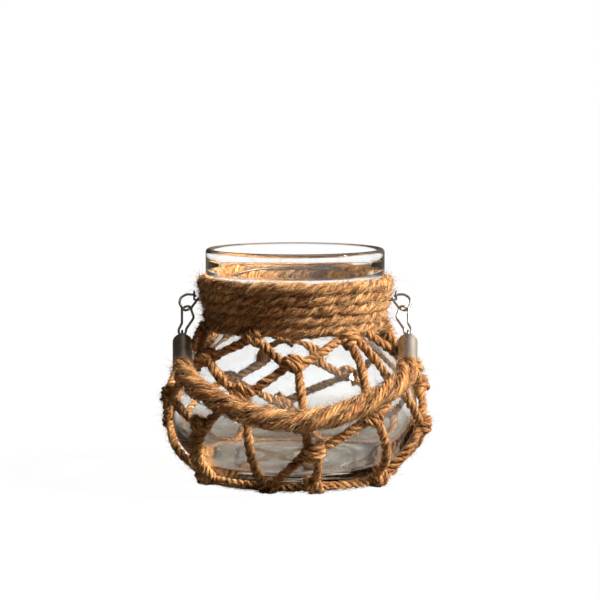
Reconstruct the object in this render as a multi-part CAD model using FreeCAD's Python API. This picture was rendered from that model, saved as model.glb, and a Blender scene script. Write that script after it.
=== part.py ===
import FreeCAD, Part

import math
import os

# Rope-netted glass jar lantern with a swinging rope handle, in millimetres.
# The origin is the middle of the jar's base on the surface it stands on. +Z is up,
# -Y is the front, where the handle hangs at rest, and +X is to the right.

V = FreeCAD.Vector
X_AXIS, Z_AXIS = V(1, 0, 0), V(0, 0, 1)

# --- driving dimensions -----------------------------------------------------
JAR_HEIGHT = 114.0
JAR_RADIUS = 60.5
RIM_RADIUS = 44.0
RIM_BAND_HEIGHT = 13.0          # the thick band of glass round the mouth
WALL = 3.0
BASE_THICKNESS = 6.5
BASE_FLAT_RADIUS = 34.0
FLOOR_RADIUS = 30.0             # flat floor inside
PUNT_RADIUS, PUNT_DEPTH = 27.0, 1.2   # shallow dish under the base

NET_CORD = 4.4                  # diameter of the twisted cord of the net
WRAP_ROPE = 5.4                 # diameter of the rope wound round the neck
WRAP_TURNS = 5
WRAP_PITCH = 5.1                # the turns are pulled tight against each other
WRAP_GAP = 0.5
WRAP_TOP = 100.6
HANDLE_ROPE = 10.0

CLIP_WIRE = 1.2
NECK_WIRE = 1.1
NECK_EYE_WIRE = 0.9
NECK_EYE_RADIUS = 2.0           # of a ring, to the middle of its wire
NECK_EYE_OUT = 49.7             # distance from the jar's axis
EYE_HEIGHT = 90.6               # of the neck eyes and of the axis that the clips swing on
SHANK_DIP, SHANK_BEND = 0.35, 2.0     # the neck eye's shank dips under the clip
FERRULE_EYE_WIRE = 1.1
FERRULE_EYE_RADIUS = 2.6
CLIP_OUT = 51.6                 # the clips' outline is measured from here
CLIP_LENGTH = 22.2              # from the neck eye's centre to the ferrule eye's pin
CLIP_LEAN = 36.0                # degrees forward of hanging straight down
CLIP_WAIST = (1.6, -7.3)        # where the inner leg is bound to the outer leg
CLIP_WAIST_RADIUS = 1.75
CLIP_BEND = 3.0                 # radius of the clip wire's bends
CLIP_FOOT = 3.4                 # middle of the clip's lowest wire, from CLIP_OUT

FERRULE_RADIUS = 4.75
FERRULE_LENGTH = 20.0
FERRULE_WALL = 0.45
FERRULE_LEAN = 60.0             # degrees forward of straight down
FERRULE_TURN_IN = 2.6           # degrees that the ferrules point towards each other
FERRULE_END = 2.2               # thickness of the closed end
FERRULE_TOP_GAP = 3.2           # from the ring's centre to the ferrule's closed end
FERRULE_DOME = 1.8              # rounding of the closed end
SHANK_RADIUS = 0.8              # of the ferrule eye's shank
SHANK_HEAD_RADIUS, SHANK_HEAD = 1.9, 0.8

GAP = 0.15                      # between pieces that lie against each other

# Handle rope, mouth to mouth of its two ferrules: the corners of its route. Its first
# and last corners lie on the ferrules' axes.
HANDLE_ROUTE = [
    (-53.6, -39.5, 57.4),
    (-50.6, -47.5, 53.9),
    (-44.2, -55.8, 50.1),
    (-34.5, -63.2, 45.5),
    (-22.5, -69.0, 41.2),
    (-8.5, -72.3, 38.4),
    (6.5, -72.5, 38.2),
    (20.5, -69.8, 41.0),
    (32.8, -64.4, 45.5),
    (43.4, -56.6, 50.3),
    (50.4, -47.8, 54.2),
    (53.6, -39.5, 57.4),
]

# Knots of the net: angle in degrees from the front, positive to the right, and height.
# Row a is just under the neck wrap and row e is on the cord round the foot.
KNOTS = {
    "a1": (-27, 74.2), "a2": (36, 71.5), "a3": (98, 73.4),
    "a4": (154, 72.2), "a5": (214, 73.6), "a6": (276, 73.0),
    "b1": (306.5, 61.0), "b2": (-1, 60.3), "b3": (54, 47.4), "b7": (81, 54.6),
    "b4": (125, 60.5), "b5": (184, 58.6), "b6": (244, 61.2),
    "c1": (-24, 48.2), "c2": (35, 36.4), "c3": (98, 44.6),
    "c4": (152, 45.2), "c5": (215, 43.6), "c6": (283, 42.5),
    "d1": (-44, 33.0), "d2": (8, 23.4), "d3": (76, 29.0),
    "d4": (127, 27.2), "d5": (187, 30.0), "d6": (256, 27.6),
    "e1": (295, 6.4), "e2": (-16, 5.8), "e3": (57, 6.8),
    "e4": (103, 6.2), "e5": (160, 6.0), "e6": (226, 6.6), "e7": (11.5, 6.2),
}

# Each cord of the net, from the neck to the foot: the angle where it comes out from
# under the wrap, then its knots. The number is its place in the knot, counted in cord
# diameters to the right of the knot's middle.
CORDS = [
    (-30, [("a1", -0.5), ("b1", 0.5), ("c1", -0.5), ("d1", 0.5), ("e1", 1.0)]),
    (-23, [("a1", 0.5), ("b2", -0.5), ("c1", 0.5), ("e2", -0.5)]),
    (31, [("a2", -1.0), ("b2", 0.5), ("d2", -0.5), ("e2", 0.5)]),
    (36, [("a2", 0.0), ("c2", -0.5), ("d2", 0.5), ("e7", 0.0)]),
    (41, [("a2", 1.0), ("b3", -0.5), ("c2", 0.5), ("e3", -0.5)]),
    (52, [("b7", -0.5), ("b3", 0.5), ("d3", -0.5), ("e3", 0.5)]),
    (95, [("a3", -0.5), ("b7", 0.5), ("c3", -0.5), ("d3", 0.5), ("e4", -0.5)]),
    (101, [("a3", 0.5), ("b4", -0.5), ("c3", 0.5), ("d4", -0.5), ("e4", 0.5)]),
    (151, [("a4", -0.5), ("b4", 0.5), ("c4", -0.5), ("d4", 0.5), ("e5", -0.5)]),
    (157, [("a4", 0.5), ("b5", -0.5), ("c4", 0.5), ("d5", -0.5), ("e5", 0.5)]),
    (211, [("a5", -0.5), ("b5", 0.5), ("c5", -0.5), ("d5", 0.5), ("e6", -0.5)]),
    (217, [("a5", 0.5), ("b6", -0.5), ("c5", 0.5), ("d6", -0.5), ("e6", 0.5)]),
    (273, [("a6", -0.5), ("b6", 0.5), ("c6", -0.5), ("d6", 0.5), ("e1", -1.0)]),
    (279, [("a6", 0.5), ("b1", -0.5), ("c6", 0.5), ("d1", -0.5), ("e1", 0.0)]),
]


def write(name, shape):
    if len(shape.Solids) == 1:
        shape = shape.Solids[0]
    shape.exportStep("parts/" + name + ".step")
    print(f"{name:22s} {shape.ShapeType:9s} {shape.Volume:10.1f} mm3")


def revolve(outline):
    face = Part.Face(Part.Wire(outline))
    return face.revolve(V(0, 0, 0), Z_AXIS, 360)


def line(a, b):
    return Part.LineSegment(a, b).toShape()


def spline(points):
    curve = Part.BSplineCurve()
    curve.interpolate([V(r, 0, z) for r, z in points])
    return curve


# --- glass jar ----------------------------------------------------------------
RIM_BOTTOM = JAR_HEIGHT - RIM_BAND_HEIGHT
NECK_RADIUS, NECK_HEIGHT = 37.6, 77.0     # the narrowest place, under the wrap
NECK_TOP_RADIUS = 42.2
FLARE_TOP = RIM_BOTTOM - 1.2
OUTER_BODY = [
    (BASE_FLAT_RADIUS, 0.0), (38.6, 1.3), (45.2, 6.6), (53.0, 13.2), (58.4, 20.4),
    (JAR_RADIUS, 30.0), (59.4, 42.0), (55.6, 54.0), (49.0, 63.8), (41.8, 70.6),
    (NECK_RADIUS, NECK_HEIGHT),
]


def inner_body():
    """The inside of the body: the outside moved in by the wall, with a thick base."""
    heel = [(FLOOR_RADIUS, BASE_THICKNESS), (40.0, BASE_THICKNESS + 2.2)]
    side = [(51.4, 17.6), (56.0, 24.4), (57.4, 31.0), (56.4, 41.4), (53.0, 52.2)]
    shoulder = [(46.8, 61.6), (39.6, 68.6), (NECK_RADIUS - WALL, NECK_HEIGHT)]
    return heel + side + shoulder


def glass_jar():
    outer, inner = spline(OUTER_BODY), spline(inner_body())
    neck_out = V(NECK_RADIUS, 0, NECK_HEIGHT)
    neck_in = V(NECK_RADIUS - WALL, 0, NECK_HEIGHT)
    flare_out = V(NECK_TOP_RADIUS, 0, FLARE_TOP)
    band_low = V(RIM_RADIUS, 0, RIM_BOTTOM + 1.0)
    band_high = V(RIM_RADIUS, 0, JAR_HEIGHT - 1.8)
    rim_in = RIM_RADIUS - 3.4
    lip_in = V(rim_in, 0, JAR_HEIGHT - 1.7)
    bore_low = V(rim_in, 0, RIM_BOTTOM + 3.0)
    flare_in = V(NECK_TOP_RADIUS - WALL - 0.4, 0, RIM_BOTTOM - 4.0)
    bead = V((flare_out.x + band_low.x) / 2 + 0.45, 0, RIM_BOTTOM - 0.3)
    lip_top = V((rim_in + RIM_RADIUS) / 2, 0, JAR_HEIGHT)
    bottom_in = V(0, 0, BASE_THICKNESS)
    punt_top = V(0, 0, PUNT_DEPTH)
    punt_mid = V(PUNT_RADIUS * 0.55, 0, PUNT_DEPTH * 0.7)
    punt_edge = V(PUNT_RADIUS, 0, 0)
    return revolve([
        Part.Arc(punt_top, punt_mid, punt_edge).toShape(),
        line(punt_edge, V(BASE_FLAT_RADIUS, 0, 0)),
        outer.toShape(),
        line(neck_out, flare_out),
        Part.Arc(flare_out, bead, band_low).toShape(),
        line(band_low, band_high),
        Part.Arc(band_high, lip_top, lip_in).toShape(),
        line(lip_in, bore_low),
        line(bore_low, flare_in),
        line(flare_in, neck_in),
        inner.toShape(),
        line(V(FLOOR_RADIUS, 0, BASE_THICKNESS), bottom_in),
        line(bottom_in, punt_top),
    ])


# The jar's outside as a curve, to lay cords on.
OUTSIDE = spline(OUTER_BODY)


def on_glass(angle, height, off):
    """The point at this angle from the front, off the glass by this much."""
    if height <= NECK_HEIGHT:
        level = Part.LineSegment(V(0, 0, height), V(80, 0, height))
        hit = OUTSIDE.intersectCC(level)[0]
        foot = V(hit.X, 0, hit.Z)
        tangent = OUTSIDE.tangent(OUTSIDE.parameter(foot))[0]
        if tangent.z < 0:
            tangent = -tangent
    else:
        share = (height - NECK_HEIGHT) / (FLARE_TOP - NECK_HEIGHT)
        foot = V(NECK_RADIUS + share * (NECK_TOP_RADIUS - NECK_RADIUS), 0, height)
        tangent = V(NECK_TOP_RADIUS - NECK_RADIUS, 0, FLARE_TOP - NECK_HEIGHT).normalize()
    out = V(tangent.z, 0, -tangent.x)
    p = foot + out * off
    t = math.radians(angle)
    return V(p.x * math.sin(t), -p.x * math.cos(t), p.z)


# --- cords and wires ------------------------------------------------------------
def rod(path, radius):
    """A round section swept along a wire or one edge."""
    wire = path if path.ShapeType == "Wire" else Part.Wire(path)
    edge = wire.OrderedEdges[0]
    start = edge.valueAt(edge.FirstParameter)
    direction = edge.tangentAt(edge.FirstParameter)
    if wire.OrderedVertexes[0].Point.distanceToPoint(start) > 1e-6:
        start = edge.valueAt(edge.LastParameter)
        direction = -edge.tangentAt(edge.LastParameter)
    circle = Part.Wire(Part.makeCircle(radius, start, direction))
    return wire.makePipeShell([circle], True, True)


def tube(a, mid, b, radius):
    """A round bar along the arc through three points."""
    return rod(Part.Arc(a, mid, b).toShape(), radius)


def rounded_path(corners, radii=None):
    """Straight runs joined by tangent arcs, as large as the runs allow.

    radii may hold a smaller radius for each inner corner. Returns the wire, its length
    and the radii used."""
    points = [V(*c) for c in corners]
    edges, used = [], []
    at = points[0]
    for i in range(1, len(points) - 1):
        before, here, after = points[i - 1], points[i], points[i + 1]
        u = (here - before).normalize()
        w = (after - here).normalize()
        half = u.getAngle(w) / 2
        run = min((here - before).Length, (after - here).Length)
        radius = 0.45 * run / math.tan(half)
        if radii:
            radius = min(radius, radii[i - 1])
        back = radius * math.tan(half)
        start, end = here - u * back, here + w * back
        inward = (w - u).normalize()
        middle = here + inward * (radius / math.cos(half) - radius)
        edges.append(line(at, start))
        edges.append(Part.Arc(start, middle, end).toShape())
        used.append(radius)
        at = end
    edges.append(line(at, points[-1]))
    wire = Part.Wire(edges)
    return wire, wire.Length, used


def ring(centre, axis, radius, wire_radius):
    return Part.makeTorus(radius, wire_radius, centre, axis)


# --- the net ----------------------------------------------------------------------
CORD_OFF = NET_CORD / 2 + 0.6  # the arcs dip a little between their ends
FOOT_HEIGHT = 4.9               # where the cord round the foot touches the glass
CORD_TOP = 72.6                 # where the net's cords come out from under the wrap
KNOT_SIZE = (NET_CORD * 1.04, NET_CORD * 0.6, NET_CORD * 0.88)
KNOT_TOP = CORD_TOP - 1.5       # no knot is higher, to stay clear of the wrap
KNOT_PROUD, TOP_KNOT_PROUD = 0.4, 1.0   # how far a knot stands off its cords
BESIDE = NET_CORD + 0.3         # between two cords side by side in a knot
BEND_PROUD = 0.12               # a cord swells a little where it bends


def cord_stations(exit_angle, stops):
    """Angle and height of a net cord's middle: under the wrap, then by its knots."""
    stations = [(exit_angle, CORD_TOP)]
    for name, place in stops:
        angle, height = KNOTS[name]
        centre = on_glass(angle, height, CORD_OFF)
        around = math.hypot(centre.x, centre.y)
        aside = math.degrees(place * BESIDE / around)
        stations.append((angle + aside, min(height, KNOT_TOP)))
    return stations


def cord_pieces(stations, radius):
    """Arcs that follow the glass from station to station, with a bead at each bend."""
    pieces = []
    for (angle_a, height_a), (angle_b, height_b) in zip(stations, stations[1:]):
        if angle_b - angle_a > 180:
            angle_b -= 360
        if angle_a - angle_b > 180:
            angle_b += 360
        a = on_glass(angle_a, height_a, CORD_OFF)
        b = on_glass(angle_b, height_b, CORD_OFF)
        middle = on_glass((angle_a + angle_b) / 2, (height_a + height_b) / 2, CORD_OFF)
        pieces.append(tube(a, middle, b, radius))
        pieces.append(Part.makeSphere(radius + BEND_PROUD, b, b - a))
    return pieces[:-1]


def knot_lump(name):
    """The outside of a knot: an egg lying along the surface."""
    angle, height = KNOTS[name]
    proud = TOP_KNOT_PROUD if name.startswith("a") else KNOT_PROUD
    centre = on_glass(angle, min(height, KNOT_TOP), CORD_OFF + proud)
    size = FreeCAD.Matrix()
    size.scale(*KNOT_SIZE)
    egg = Part.makeSphere(1.0, V(0, 0, 0), X_AXIS).transformGeometry(size)
    egg.rotate(V(0, 0, 0), Z_AXIS, angle)
    egg.translate(centre)
    return egg


TOLERANCES = (0.0, 1e-4, 1e-3, 5e-3)
SLIVER = 0.01                   # cubic millimetres


def cut_away(body, tool):
    """body less tool, at the first tolerance that leaves nothing of the tool in it."""
    for tolerance in TOLERANCES:
        left = body.cut([tool], tolerance)
        if left.Solids and left.common(tool).Volume < SLIVER:
            return left
    raise RuntimeError("a knot could not be cut round its cords")


def join(pieces):
    """The pieces fused one after another into one solid that has kept them all."""
    whole = pieces[0]
    for piece in pieces[1:]:
        for tolerance in TOLERANCES:
            joined = whole.fuse([piece], tolerance)
            shared = whole.Volume + piece.Volume - joined.Volume
            if len(joined.Solids) == 1 and -SLIVER < shared < piece.Volume + SLIVER:
                break
        else:
            raise RuntimeError("a net cord fell apart")
        whole = joined
    return whole


def net_cords():
    """Every cord of the net with the knots it ties, in order round the jar.

    Each knot belongs to the first cord that reaches it, and is cut away round the
    cords that it holds."""
    routes = [cord_stations(exit_angle, stops) for exit_angle, stops in CORDS]
    cutters = [cord_pieces(route, NET_CORD / 2 + GAP) for route in routes]
    solids, tied = [], set()
    for index, (exit_angle, stops) in enumerate(CORDS):
        lumps = []
        for name, place in stops:
            if name in tied or name.startswith("e"):
                continue
            tied.add(name)
            lump = knot_lump(name)
            for other in range(len(CORDS)):
                if other == index:
                    continue
                for piece in cutters[other]:
                    if piece.BoundBox.intersect(lump.BoundBox):
                        lump = cut_away(lump, piece)
            lumps += lump.Solids
        solids.append(join(cord_pieces(routes[index], NET_CORD / 2) + lumps))
    return solids


# --- rope round the neck --------------------------------------------------------
def neck_wrap():
    """Five turns of rope pressed against each other, standing on the flared neck."""
    radius = WRAP_ROPE / 2
    wrap = None
    for turn in range(WRAP_TURNS):
        height = WRAP_TOP - radius - turn * WRAP_PITCH
        p = on_glass(90, height, radius + WRAP_GAP)
        loop = ring(V(0, 0, p.z), Z_AXIS, p.x, radius)
        wrap = loop if wrap is None else wrap.fuse(loop)
    return wrap


def wire_seat():
    """Radius and height of the neck wire, in the valley between two turns."""
    upper = WRAP_TOP - WRAP_ROPE / 2 - WRAP_PITCH
    p = on_glass(90, upper - WRAP_PITCH / 2, NECK_WIRE / 2 + GAP)
    return p.x, p.z


# --- neck eyes, clips and ferrules, made for the right side and mirrored --------
def neck_eye_shank(back=0.0):
    """The way from the neck wire out through the wrap, and under the clip to the lowest
    point of the eye's ring, where the clip never passes. It may start farther back."""
    seat_radius, seat_height = wire_seat()
    tip = V(NECK_EYE_OUT, 0, EYE_HEIGHT - NECK_EYE_RADIUS)
    bend = tip - V(3.1, 0, SHANK_DIP)
    root = V(seat_radius + NECK_WIRE / 2 + 0.1, 0, seat_height)
    root -= (bend - root).normalize() * back
    return rounded_path([root, bend, tip], [SHANK_BEND])[0]


def neck_eye():
    """A ring with its hole along X, on a shank from the neck wire."""
    centre = V(NECK_EYE_OUT, 0, EYE_HEIGHT)
    loop = ring(centre, X_AXIS, NECK_EYE_RADIUS, NECK_EYE_WIRE / 2)
    return loop.fuse(rod(neck_eye_shank(), NECK_EYE_WIRE / 2))


def shank_passage():
    """The gap in the neck wrap that the eye's shank comes out through."""
    return rod(neck_eye_shank(back=3.0), NECK_EYE_WIRE / 2 + 0.4)


def clip_outline():
    """Corners of the clip's wire in its own plane: x away from the jar, z up, with the
    neck eye's centre as the origin. It starts at the hook's nose, goes over the top,
    down the outer leg, under the ferrule's eye and up the inner leg to the nose."""
    low = -CLIP_LENGTH
    return [
        (-2.9, 0, -0.4), (-1.4, 0, 0.5), (1.9, 0, 0.7), (4.7, 0, -1.2), (5.3, 0, -4.4),
        (3.9, 0, -7.2), (3.7, 0, low + 6.4), (5.3, 0, low + 2.6), (4.9, 0, low),
        (1.9, 0, low), (1.5, 0, low + 3.2), (-2.1, 0, low + 9.6), (-0.4, 0, -7.4),
        (-4.2, 0, -1.4),
    ]


def clip():
    """One bent wire. One turn at the waist binds its inner leg to its outer leg."""
    outline = clip_outline()
    path = rounded_path(outline, [CLIP_BEND] * (len(outline) - 2))[0]
    middle = V(CLIP_WAIST[0], 0, CLIP_WAIST[1])
    binding = ring(middle, V(0.25, 0, 1).normalize(), CLIP_WAIST_RADIUS, CLIP_WIRE / 2)
    body = rod(path, CLIP_WIRE / 2).fuse(binding)
    body.rotate(V(0, 0, 0), X_AXIS, -CLIP_LEAN)
    body.translate(V(CLIP_OUT, 0, EYE_HEIGHT))
    return body


def pin_point():
    """Where the clip's lowest wire carries the ferrule's eye."""
    lean = math.radians(CLIP_LEAN)
    drop = V(0, -math.sin(lean), -math.cos(lean)) * CLIP_LENGTH
    return V(CLIP_OUT + CLIP_FOOT, 0, EYE_HEIGHT) + drop


def ferrule_axis():
    lean, turn = math.radians(FERRULE_LEAN), math.radians(FERRULE_TURN_IN)
    down = V(-math.sin(turn), -math.sin(lean), -math.cos(lean))
    return down.normalize()


EYE_REACH = FERRULE_EYE_RADIUS - FERRULE_EYE_WIRE / 2 - CLIP_WIRE / 2 - GAP


def ring_centre():
    return pin_point() + ferrule_axis() * EYE_REACH


def ferrule_top():
    return ring_centre() + ferrule_axis() * FERRULE_TOP_GAP


def ferrule_mouth():
    return ferrule_top() + ferrule_axis() * FERRULE_LENGTH


def ferrule():
    """A drawn steel cup with a domed closed end, bored for the eye's shank."""
    axis = ferrule_axis()
    cup = Part.makeCylinder(FERRULE_RADIUS, FERRULE_LENGTH, ferrule_top(), axis)
    closed_end = [e for e in cup.Edges
                  if e.Curve.TypeId == "Part::GeomCircle"
                  and e.Curve.Center.distanceToPoint(ferrule_top()) < 0.01]
    cup = cup.makeFillet(FERRULE_DOME, closed_end)
    inside = Part.makeCylinder(
        FERRULE_RADIUS - FERRULE_WALL, FERRULE_LENGTH, ferrule_top() + axis * FERRULE_END, axis)
    bore = Part.makeCylinder(SHANK_RADIUS + 0.05, FERRULE_END + 2, ferrule_top() - axis, axis)
    return cup.cut(inside).cut(bore)


def ferrule_eye():
    """A ring on a shank with a riveted head inside the ferrule."""
    axis = ferrule_axis()
    across = V(1, 0, 0)
    normal = (across - axis * across.dot(axis)).normalize()
    loop = ring(ring_centre(), normal, FERRULE_EYE_RADIUS, FERRULE_EYE_WIRE / 2)
    start = ring_centre() + axis * FERRULE_EYE_RADIUS
    head_start = FERRULE_END + 0.1
    reach = FERRULE_TOP_GAP - FERRULE_EYE_RADIUS + head_start + SHANK_HEAD
    shank = Part.makeCylinder(SHANK_RADIUS, reach, start, axis)
    head = Part.makeCylinder(
        SHANK_HEAD_RADIUS, SHANK_HEAD, ferrule_top() + axis * head_start, axis)
    return loop.fuse(shank).fuse(head)


def mirrored(shape):
    return shape.mirror(V(0, 0, 0), X_AXIS)


def handle_rope():
    """The free rope, from ferrule mouth to ferrule mouth."""
    right = ferrule_mouth()
    left = V(-right.x, right.y, right.z)
    corners = [tuple(left)] + HANDLE_ROUTE + [tuple(right)]
    path, length, radii = rounded_path(corners)
    solid = rod(path, HANDLE_ROPE / 2)
    expected = math.pi * (HANDLE_ROPE / 2) ** 2 * length
    print("handle arc radii", [round(r, 1) for r in radii])
    print(f"handle length {length:.1f}, volume {solid.Volume:.0f} of {expected:.0f}")
    return solid


def foot_ring():
    """The cord round the foot that the net is tied to."""
    p = on_glass(90, FOOT_HEIGHT, CORD_OFF)
    return ring(V(0, 0, p.z), Z_AXIS, p.x, NET_CORD / 2)


os.makedirs("parts", exist_ok=True)

jar = glass_jar()
write("glass_jar", jar)

seat_radius, seat_height = wire_seat()
wire = ring(V(0, 0, seat_height), Z_AXIS, seat_radius, NECK_WIRE / 2)
write("neck_wire", wire)

wrap = neck_wrap()
wrap = wrap.cut(shank_passage()).cut(mirrored(shank_passage()))
write("neck_wrap_rope", wrap)

for number, solid in enumerate(net_cords(), 1):
    write(f"net_cord_{number:02d}", solid)
write("foot_ring_cord", foot_ring())

for side, place in (("right", lambda shape: shape), ("left", mirrored)):
    write(side + "_neck_eye", place(neck_eye()))
    write(side + "_clip", place(clip()))
    write(side + "_ferrule", place(ferrule()))
    write(side + "_ferrule_eye", place(ferrule_eye()))
write("handle_rope", handle_rope())
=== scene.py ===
import math

import bpy
import numpy as np
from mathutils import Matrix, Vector


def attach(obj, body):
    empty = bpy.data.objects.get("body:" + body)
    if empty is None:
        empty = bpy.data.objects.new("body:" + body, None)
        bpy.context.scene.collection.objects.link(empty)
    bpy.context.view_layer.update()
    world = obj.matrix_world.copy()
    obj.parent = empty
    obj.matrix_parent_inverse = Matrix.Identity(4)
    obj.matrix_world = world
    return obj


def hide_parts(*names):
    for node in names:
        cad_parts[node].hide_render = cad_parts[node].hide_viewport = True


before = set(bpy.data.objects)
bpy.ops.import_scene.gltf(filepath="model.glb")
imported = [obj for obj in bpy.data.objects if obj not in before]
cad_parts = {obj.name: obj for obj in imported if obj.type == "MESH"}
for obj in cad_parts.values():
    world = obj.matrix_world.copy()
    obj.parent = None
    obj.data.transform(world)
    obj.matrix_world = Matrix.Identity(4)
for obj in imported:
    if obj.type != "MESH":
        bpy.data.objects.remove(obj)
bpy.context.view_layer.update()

# The looks of a rope-netted glass jar lantern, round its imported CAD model.
# Lengths here are millimetres in the frame's axes. mesh_piece() turns them into metres.
MM = 0.001

# --- what the design says -------------------------------------------------------
JAR_HEIGHT = 114.0
RIM_RADIUS = 44.0
RIM_BOTTOM = 101.0
RIM_WALL = 3.4
NECK_RADIUS, NECK_HEIGHT = 37.6, 77.0
NECK_TOP_RADIUS, FLARE_TOP = 42.2, 99.8
WALL = 3.0
BASE_THICKNESS = 6.5
PUNT_RADIUS, PUNT_DEPTH = 27.0, 1.2
OUTER_BODY = [
    (34.0, 0.0), (38.6, 1.3), (45.2, 6.6), (53.0, 13.2), (58.4, 20.4), (60.5, 30.0),
    (59.4, 42.0), (55.6, 54.0), (49.0, 63.8), (41.8, 70.6), (NECK_RADIUS, NECK_HEIGHT),
]
INNER_BODY = [
    (30.0, BASE_THICKNESS), (40.0, 8.7), (51.4, 17.6), (56.0, 24.4), (57.4, 31.0),
    (56.4, 41.4), (53.0, 52.2), (46.8, 61.6), (39.6, 68.6), (NECK_RADIUS - WALL, NECK_HEIGHT),
]
WRAP_ROPE, WRAP_TURNS, WRAP_PITCH, WRAP_TOP, WRAP_GAP = 5.4, 5, 5.1, 100.6, 0.5
NET_CORD = 4.4
NET_GAP = 0.6
CORD_OFF = NET_CORD / 2 + NET_GAP   # from the glass to the middle of a net cord
CORD_TOP = 72.6
KNOT_TOP = CORD_TOP - 1.5
UNDER_WRAP = 3.0                    # how far above CORD_TOP a net cord starts
FOOT_HEIGHT = 4.9
HANDLE_ROPE = 10.0

# How near the floor and the glass the finished strands and fibres may come.
FLOOR_GAP = 0.12
TWINE_GAP = 0.12
WRAP_STRAND_GAP = 0.1
FIBRE_GAP = 0.3

# The handle rope's route from ferrule mouth to ferrule mouth.
MOUTH = (53.890, -34.245, 60.402)
FERRULE_AXIS = np.array([-0.0453, -0.8651, -0.4995])
HANDLE_ROUTE = [
    (-MOUTH[0], MOUTH[1], MOUTH[2]),
    (-53.6, -39.5, 57.4), (-50.6, -47.5, 53.9), (-44.2, -55.8, 50.1), (-34.5, -63.2, 45.5),
    (-22.5, -69.0, 41.2), (-8.5, -72.3, 38.4), (6.5, -72.5, 38.2), (20.5, -69.8, 41.0),
    (32.8, -64.4, 45.5), (43.4, -56.6, 50.3), (50.4, -47.8, 54.2), (53.6, -39.5, 57.4),
    MOUTH,
]

# Knots of the net: angle in degrees from the front, positive to the right, and height.
KNOTS = {
    "a1": (-27, 74.2), "a2": (36, 71.5), "a3": (98, 73.4),
    "a4": (154, 72.2), "a5": (214, 73.6), "a6": (276, 73.0),
    "b1": (306.5, 61.0), "b2": (-1, 60.3), "b3": (54, 47.4), "b7": (81, 54.6),
    "b4": (125, 60.5), "b5": (184, 58.6), "b6": (244, 61.2),
    "c1": (-24, 48.2), "c2": (35, 36.4), "c3": (98, 44.6),
    "c4": (152, 45.2), "c5": (215, 43.6), "c6": (283, 42.5),
    "d1": (-44, 33.0), "d2": (8, 23.4), "d3": (76, 29.0),
    "d4": (127, 27.2), "d5": (187, 30.0), "d6": (256, 27.6),
    "e1": (295, 6.4), "e2": (-16, 5.8), "e3": (57, 6.8),
    "e4": (103, 6.2), "e5": (160, 6.0), "e6": (226, 6.6), "e7": (11.5, 6.2),
}
# Each cord of the net: the angle where it comes out from under the wrap, then its knots
# and its place in each, in cord diameters to the right of the knot's middle.
CORDS = [
    (-30, [("a1", -0.5), ("b1", 0.5), ("c1", -0.5), ("d1", 0.5), ("e1", 1.0)]),
    (-23, [("a1", 0.5), ("b2", -0.5), ("c1", 0.5), ("e2", -0.5)]),
    (31, [("a2", -1.0), ("b2", 0.5), ("d2", -0.5), ("e2", 0.5)]),
    (36, [("a2", 0.0), ("c2", -0.5), ("d2", 0.5), ("e7", 0.0)]),
    (41, [("a2", 1.0), ("b3", -0.5), ("c2", 0.5), ("e3", -0.5)]),
    (52, [("b7", -0.5), ("b3", 0.5), ("d3", -0.5), ("e3", 0.5)]),
    (95, [("a3", -0.5), ("b7", 0.5), ("c3", -0.5), ("d3", 0.5), ("e4", -0.5)]),
    (101, [("a3", 0.5), ("b4", -0.5), ("c3", 0.5), ("d4", -0.5), ("e4", 0.5)]),
    (151, [("a4", -0.5), ("b4", 0.5), ("c4", -0.5), ("d4", 0.5), ("e5", -0.5)]),
    (157, [("a4", 0.5), ("b5", -0.5), ("c4", 0.5), ("d5", -0.5), ("e5", 0.5)]),
    (211, [("a5", -0.5), ("b5", 0.5), ("c5", -0.5), ("d5", 0.5), ("e6", -0.5)]),
    (217, [("a5", 0.5), ("b6", -0.5), ("c5", 0.5), ("d6", -0.5), ("e6", 0.5)]),
    (273, [("a6", -0.5), ("b6", 0.5), ("c6", -0.5), ("d6", 0.5), ("e1", -1.0)]),
    (279, [("a6", 0.5), ("b1", -0.5), ("c6", 0.5), ("d1", -0.5), ("e1", 0.0)]),
]


# --- curves and surfaces ----------------------------------------------------------
def unit(v):
    return v / np.maximum(np.linalg.norm(v, axis=-1, keepdims=True), 1e-12)


def smooth_through(points, count):
    """count points on the smooth curve through these points (a natural cubic spline)."""
    p = np.array(points, float)
    t = np.r_[0, np.cumsum(np.linalg.norm(np.diff(p, axis=0), axis=1))]
    h, n = np.diff(t), len(p)
    system, right = np.eye(n), np.zeros_like(p)
    for i in range(1, n - 1):
        system[i, i - 1:i + 2] = h[i - 1], 2 * (h[i - 1] + h[i]), h[i]
        right[i] = 6 * ((p[i + 1] - p[i]) / h[i] - (p[i] - p[i - 1]) / h[i - 1])
    bend = np.linalg.solve(system, right)
    u = np.linspace(0, t[-1], count)
    k = np.clip(np.searchsorted(t, u, side="right") - 1, 0, n - 2)
    a, b, step = ((t[k + 1] - u) / h[k])[:, None], ((u - t[k]) / h[k])[:, None], h[k][:, None]
    curve = (a ** 3 - a) * bend[k] + (b ** 3 - b) * bend[k + 1]
    return a * p[k] + b * p[k + 1] + curve * step ** 2 / 6


def arc_through(a, b, c, count):
    """count points on the circle's arc from a to c by way of b, in the plane."""
    (ax, ay), (bx, by), (cx, cy) = a, b, c
    system = np.array([[bx - ax, by - ay], [cx - ax, cy - ay]]) * 2
    right = np.array([bx ** 2 - ax ** 2 + by ** 2 - ay ** 2, cx ** 2 - ax ** 2 + cy ** 2 - ay ** 2])
    centre = np.linalg.solve(system, right)
    angles = [math.atan2(y - centre[1], x - centre[0]) for x, y in (a, b, c)]
    start, middle, end = np.unwrap(angles)
    t = np.linspace(start, end, count)
    radius = math.hypot(ax - centre[0], ay - centre[1])
    return centre + radius * np.column_stack([np.cos(t), np.sin(t)])


def run_of(a, b, step=1.5):
    """Points from a to b, a step apart."""
    a, b = np.array(a, float), np.array(b, float)
    count = max(2, int(np.linalg.norm(b - a) / step) + 1)
    return a + (b - a) * np.linspace(0, 1, count)[:, None]


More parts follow.
